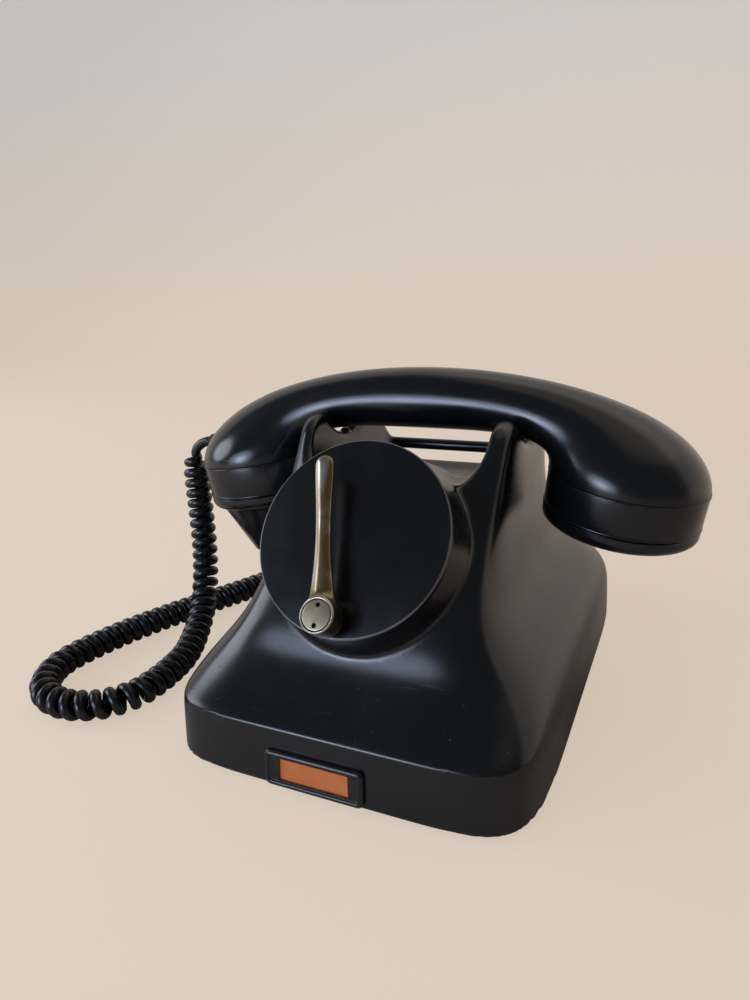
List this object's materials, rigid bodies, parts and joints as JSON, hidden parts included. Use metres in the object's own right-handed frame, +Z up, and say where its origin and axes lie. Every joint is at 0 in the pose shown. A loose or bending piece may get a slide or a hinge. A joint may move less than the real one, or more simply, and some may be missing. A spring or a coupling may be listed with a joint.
{
  "type": "bakelite magneto telephone",
  "caption": "Black bakelite desk telephone with a plain front disc, a hand crank for its magneto, a lift-off handset in a forked cradle and a curly handset cord.",
  "frame": {"origin": "on the table under the middle of the base", "axes": "+Z up, the front with the disc and crank faces -Y, the handset lies along X with its mouthpiece at -X"},
  "size_m": [0.2888, 0.2323, 0.141],
  "materials": {
    "bakelite": "satin gloss",
    "front_disc": "satin",
    "aged_brass": "aged satin",
    "machined_brass": "machined",
    "steel": "plated",
    "magnet_red": "satin",
    "copper_winding": "varnished",
    "gong_metal": "plated",
    "capacitor_case": "matt",
    "brown_insulation": "matt",
    "rubber": "matt",
    "orange_card": "paper",
    "clear_window": "clear",
    "cord_rubber": "gloss"
  },
  "bodies": {
    "base": {"housing": "bakelite", "label_frame": "bakelite", "front_disc": "front_disc", "crank_bush": "aged_brass", "bearing_bushes": "machined_brass", "terminal_screws": "machined_brass", "contact_springs": "machined_brass", "plunger_bushes": "machined_brass", "base_plate": "steel", "base_screws": "steel", "magneto_front_plate": "steel", "magneto_rear_plate": "steel", "pole_shoes": "steel", "gong_posts": "steel", "gong_nuts": "steel", "ringer_cores": "steel", "ringer_yoke": "steel", "clapper_pin": "steel", "switch_bracket": "steel", "magnets": "magnet_red", "ringer_coils": "copper_winding", "induction_coil": "copper_winding", "gongs": "gong_metal", "capacitor": "capacitor_case", "terminal_block": "brown_insulation", "spring_insulators": "brown_insulation", "rubber_feet": "rubber", "line_cord_grommet": "rubber", "handset_cord_grommet": "rubber", "label_card": "orange_card", "label_window": "clear_window", "handset_cord": "cord_rubber"},
    "crank": {"crank_lever": "aged_brass", "crank_nut": "aged_brass", "crank_shaft": "steel", "drive_gear": "machined_brass"},
    "armature": {"armature_core": "steel", "armature_winding": "copper_winding", "armature_shaft": "steel", "armature_pinion": "machined_brass"},
    "clapper": {"clapper_arm": "steel", "clapper_ball": "machined_brass"},
    "hook": {"plungers": "bakelite", "hook_yoke": "steel"},
    "handset": {"handset_shell": "bakelite", "ear_ring": "bakelite", "ear_cover": "bakelite", "receiver_capsule": "steel", "mouth_ring": "bakelite", "mouth_cover": "bakelite", "mouthpiece_horn": "bakelite", "transmitter_capsule": "steel", "handset_cord_bush": "rubber"}
  },
  "joints": [
    {"name": "handset_lift", "type": "slide", "parent": "base", "child": "handset", "axis": [0, 0, 1], "range_m": [0, 0.1], "deforming": ["handset_cord"]},
    {"name": "hook_rise", "type": "slide", "parent": "base", "child": "hook", "axis": [0, 0, 1], "range_m": [0, 0.005]},
    {"name": "crank_turn", "type": "hinge", "parent": "base", "child": "crank", "pos_m": [0, -0.08896, 0.06582], "axis": [0, -0.8, 0.6], "continuous": true},
    {"name": "armature_turn", "type": "hinge", "parent": "base", "child": "armature", "pos_m": [0, -0.06976, 0.09142], "axis": [0, -0.8, 0.6], "continuous": true},
    {"name": "clapper_swing", "type": "hinge", "parent": "base", "child": "clapper", "pos_m": [0, 0.034, 0.021], "axis": [0, 0, 1], "range_deg": [-4, 4], "stiffness_Nm_per_rad": 0.002}
  ],
  "couplings": [
    {"joint": "armature_turn", "follows": "crank_turn", "ratio": -4},
    {"joint": "hook_rise", "follows": "handset_lift", "ratio": 0.05}
  ]
}
